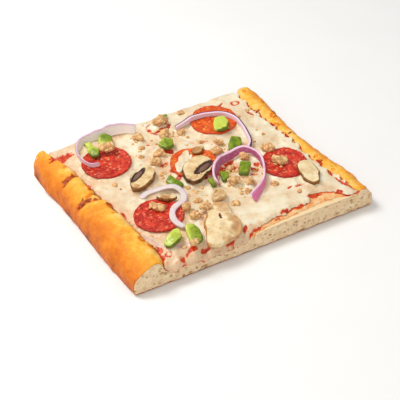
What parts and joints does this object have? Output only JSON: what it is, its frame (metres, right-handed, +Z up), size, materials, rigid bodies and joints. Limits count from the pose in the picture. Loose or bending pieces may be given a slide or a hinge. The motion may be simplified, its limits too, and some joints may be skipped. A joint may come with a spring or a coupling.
{
  "type": "pan pizza piece",
  "caption": "Squared-off piece of deep pan pizza with two baked rims, two straight cuts, melted cheese and mixed meat and vegetable toppings.",
  "frame": {"origin": "on the surface it rests on, under the middle of the piece", "axes": "+X along the straight front cut towards the narrow rim, +Y to the back cut, +Z up"},
  "size_m": [0.235, 0.19, 0.0332],
  "materials": {
    "crust": "baked bread, golden brown skin with a pale open crumb at the two cuts",
    "sauce": "cooked tomato sauce, red and slightly shiny",
    "cheese": "melted cheese, cream with pale pink thin patches, softly shiny",
    "pepperoni": "cured sausage slice, red with paler flecks of fat, oily",
    "mushroom": "cooked mushroom slice, cream flesh with brown skin and dark gills",
    "pepper": "green pepper, bright green skin and paler flesh",
    "sausage": "crumbled cooked sausage, rough and tan",
    "onion": "red onion, white to lilac flesh with a thin purple edge"
  },
  "bodies": {
    "root": {"cheese": "cheese", "crust": "crust", "mushroom_edge": "mushroom", "mushroom_front": "mushroom", "mushroom_oval": "mushroom", "mushroom_right": "mushroom", "mushroom_round": "mushroom", "mushroom_sliver": "mushroom", "mushroom_stalk": "mushroom", "onion_back_left": "onion", "onion_back_right": "onion", "onion_front": "onion", "onion_middle": "onion", "pepper_back_a": "pepper", "pepper_back_b": "pepper", "pepper_back_c": "pepper", "pepper_back_d": "pepper", "pepper_front_a": "pepper", "pepper_front_b": "pepper", "pepper_middle_a": "pepper", "pepper_middle_b": "pepper", "pepper_middle_c": "pepper", "pepper_middle_d": "pepper", "pepper_middle_e": "pepper", "pepper_middle_f": "pepper", "pepper_middle_g": "pepper", "pepperoni_1": "pepperoni", "pepperoni_2": "pepperoni", "pepperoni_3": "pepperoni", "pepperoni_4": "pepperoni", "pepperoni_5": "pepperoni", "sauce": "sauce", "sausage_a": "sausage", "sausage_b": "sausage", "sausage_c": "sausage", "sausage_d": "sausage", "sausage_e": "sausage", "sausage_f": "sausage", "sausage_g": "sausage", "sausage_h": "sausage", "sausage_i": "sausage", "sausage_j": "sausage", "sausage_k": "sausage", "sausage_l": "sausage", "sausage_m": "sausage", "sausage_n": "sausage", "sausage_o": "sausage", "sausage_p": "sausage", "sausage_q": "sausage", "sausage_r": "sausage", "sausage_s": "sausage"}
  },
  "joints": []
}
